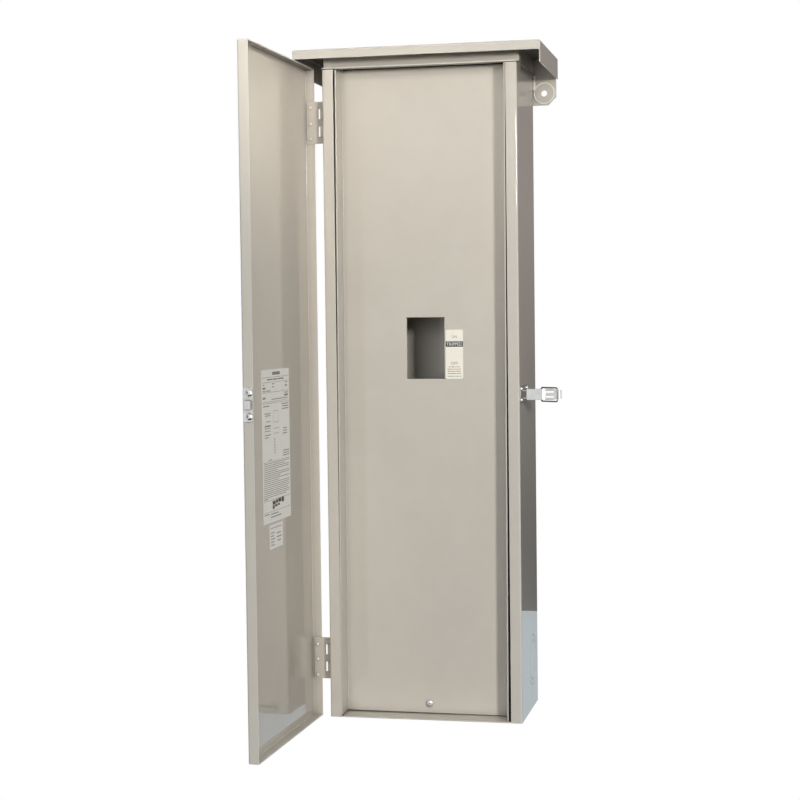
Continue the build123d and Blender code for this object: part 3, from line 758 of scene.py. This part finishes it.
def seen_or_lighting(tree, output, lighting, seen):
    """Shows one shader to the eye and to reflections, and the other to all other light."""
    mix = add(tree, "ShaderNodeMixShader")
    feed(tree, seen_directly(tree), mix.inputs[0])
    feed(tree, lighting.outputs[0], mix.inputs[1])
    feed(tree, seen.outputs[0], mix.inputs[2])
    feed(tree, mix.outputs[0], output.inputs["Surface"])


def studio_world():
    world = bpy.data.worlds.new("studio")
    bpy.context.scene.world = world
    world.use_nodes = True
    tree = world.node_tree
    tree.nodes.clear()
    output = add(tree, "ShaderNodeOutputWorld")
    backdrop = add(tree, "ShaderNodeBackground")
    feed(tree, WHITE, backdrop.inputs["Color"])
    feed(tree, 1.0, backdrop.inputs["Strength"])
    sky = add(tree, "ShaderNodeBackground")
    feed(tree, (0.74, 0.88, 1.0, 1), sky.inputs["Color"])
    direction = add(tree, "ShaderNodeSeparateXYZ")
    feed(tree, add(tree, "ShaderNodeTexCoord").outputs["Generated"], direction.inputs[0])
    feed(tree, remap(tree, direction.outputs["Z"], -0.1, 0.6, 0.01, 0.34), sky.inputs["Strength"])
    seen_or_lighting(tree, output, sky, backdrop)


def stage_material(name, seen_colour, bounce_colour, rise=None):
    """A glow that the eye sees over a matte that light meets; rise: upper colour, start, end."""
    material = bpy.data.materials.new(name)
    material.use_nodes = True
    tree = material.node_tree
    tree.nodes.clear()
    output = add(tree, "ShaderNodeOutputMaterial")
    glow = add(tree, "ShaderNodeEmission")
    if rise:
        upper_colour, start, end = rise
        place = add(tree, "ShaderNodeSeparateXYZ")
        feed(tree, object_coords(tree), place.inputs[0])
        height = remap(tree, place.outputs["Y"], start, end)
        seen_colour = mix_colour(tree, height, seen_colour, upper_colour)
    feed(tree, seen_colour, glow.inputs["Color"])
    matte = add(tree, "ShaderNodeBsdfDiffuse")
    feed(tree, bounce_colour, matte.inputs["Color"])
    seen_or_lighting(tree, output, matte, glow)
    return material


def stage_sheet(name, size, location, rotation, material):
    bpy.ops.mesh.primitive_plane_add(size=1, location=location, rotation=rotation)
    sheet = bpy.context.object
    sheet.name = name
    sheet.scale = (size[0], size[1], 1)
    sheet.data.materials.append(material)
    sheet.select_set(False)
    return sheet


def reflected_card(name, size, location, rotation, shade, rise=None):
    """A card that only reflections see, of one shade or rising to another."""
    material = stage_material(name, grey(shade), grey(shade), rise)
    card = stage_sheet(name, size, location, rotation, material)
    card.visible_camera = False
    card.visible_diffuse = False
    card.visible_shadow = False


def soft_lamp(name, location, target, size, watts, colour, spread=None, reflected=False):
    """A lamp aimed at a place; it shows in reflections only where it is said to."""
    data = bpy.data.lights.new(name, "AREA")
    data.shape = "RECTANGLE"
    data.size, data.size_y = size
    data.energy = watts
    data.color = colour
    if spread is not None:
        data.spread = radians(spread)
    lamp = bpy.data.objects.new(name, data)
    bpy.context.scene.collection.objects.link(lamp)
    lamp.location = location
    aim = Vector(target) - Vector(location)
    lamp.rotation_euler = aim.to_track_quat("-Z", "Y").to_euler()
    lamp.visible_glossy = reflected


studio_world()
stage_sheet("floor", (14, 14), (0, 0, -1.9), LYING,
            stage_material("pale_floor", WHITE, grey(0.08)))
reflected_card("dark_card", (1.6, 2.6), (0.95, 2.0, 0.22), standing(0), 0.06,
               ((0.30, 0.255, 0.235, 1), -0.42, -0.10))
reflected_card("left_dark_card", (1.7, 2.6), (-1.15, 2.0, -0.2), standing(0), 0.08)
reflected_card("room_card", (5.0, 3.0), (0, -3.6, -0.2), standing(0), 0.85)
reflected_card("left_card", (1.6, 2.6), (-2.0, -1.6, -0.2), standing(-60), 0.05)
reflected_card("under_card", (2.4, 2.4), (0, -0.8, -1.7), LYING, 0.02)
reflected_card("floor_card", (1.6, 0.9), (0.95, 2.0, -1.531), standing(0), 0.0,
               ((0.62, 0.70, 0.75, 1), -2.0, -1.0))
reflected_card("edge_card", (1.0, 2.4), (1.9, -1.3, -0.2), standing(60), 4.0)
soft_lamp("key", (1.6, -2.65, 0.14), (0, -0.12, -0.357), (0.28, 0.28), 47,
          (1.0, 0.985, 0.96), reflected=True)
soft_lamp("front_fill", (0.1, -4.0, 0.1), (0, -0.12, -0.4), (1.4, 1.4), 36, (0.94, 0.98, 1.0))
soft_lamp("top_fill", (-0.28, -1.05, 0.3), (0.13, -0.15, 0.0), (0.25, 0.2), 0.18,
          (1.0, 0.96, 0.89), spread=42)
soft_lamp("back_fill", (-2.3, 1.7, 0.3), (0, -0.1, -0.4), (1.2, 1.2), 30, (1.0, 0.99, 0.97))
soft_lamp("door_fill", (0.62, -1.0, 0.28), (-0.14, -0.36, 0.0), (0.2, 0.2), 0.18,
          (1.0, 0.95, 0.87), spread=24)

# Camera at the photograph's viewing angle

YAW, PITCH, ROLL = radians(12.424), radians(-2.706), radians(-0.691)
EYE = Vector((0.4871, -2.5063, -0.3135))
FOCUS, PICTURE = 1764.1, 800   # the focal length and the picture's width, in pixels
SENSOR = 36

ahead = Vector((-sin(YAW) * cos(PITCH), cos(YAW) * cos(PITCH), sin(PITCH)))
level_right = Vector((cos(YAW), sin(YAW), 0))
level_up = level_right.cross(ahead)
right = cos(ROLL) * level_right + sin(ROLL) * level_up
up = cos(ROLL) * level_up - sin(ROLL) * level_right
lens = bpy.data.cameras.new("camera")
lens.sensor_width = SENSOR
lens.lens = FOCUS / PICTURE * SENSOR
camera = bpy.data.objects.new("camera", lens)
bpy.context.scene.collection.objects.link(camera)
camera.matrix_world = aimed(Matrix((right, up, -ahead)).transposed().to_4x4(), EYE)
bpy.context.scene.camera = camera
bpy.context.scene.view_settings.view_transform = "Standard"

bpy.context.view_layer.update()
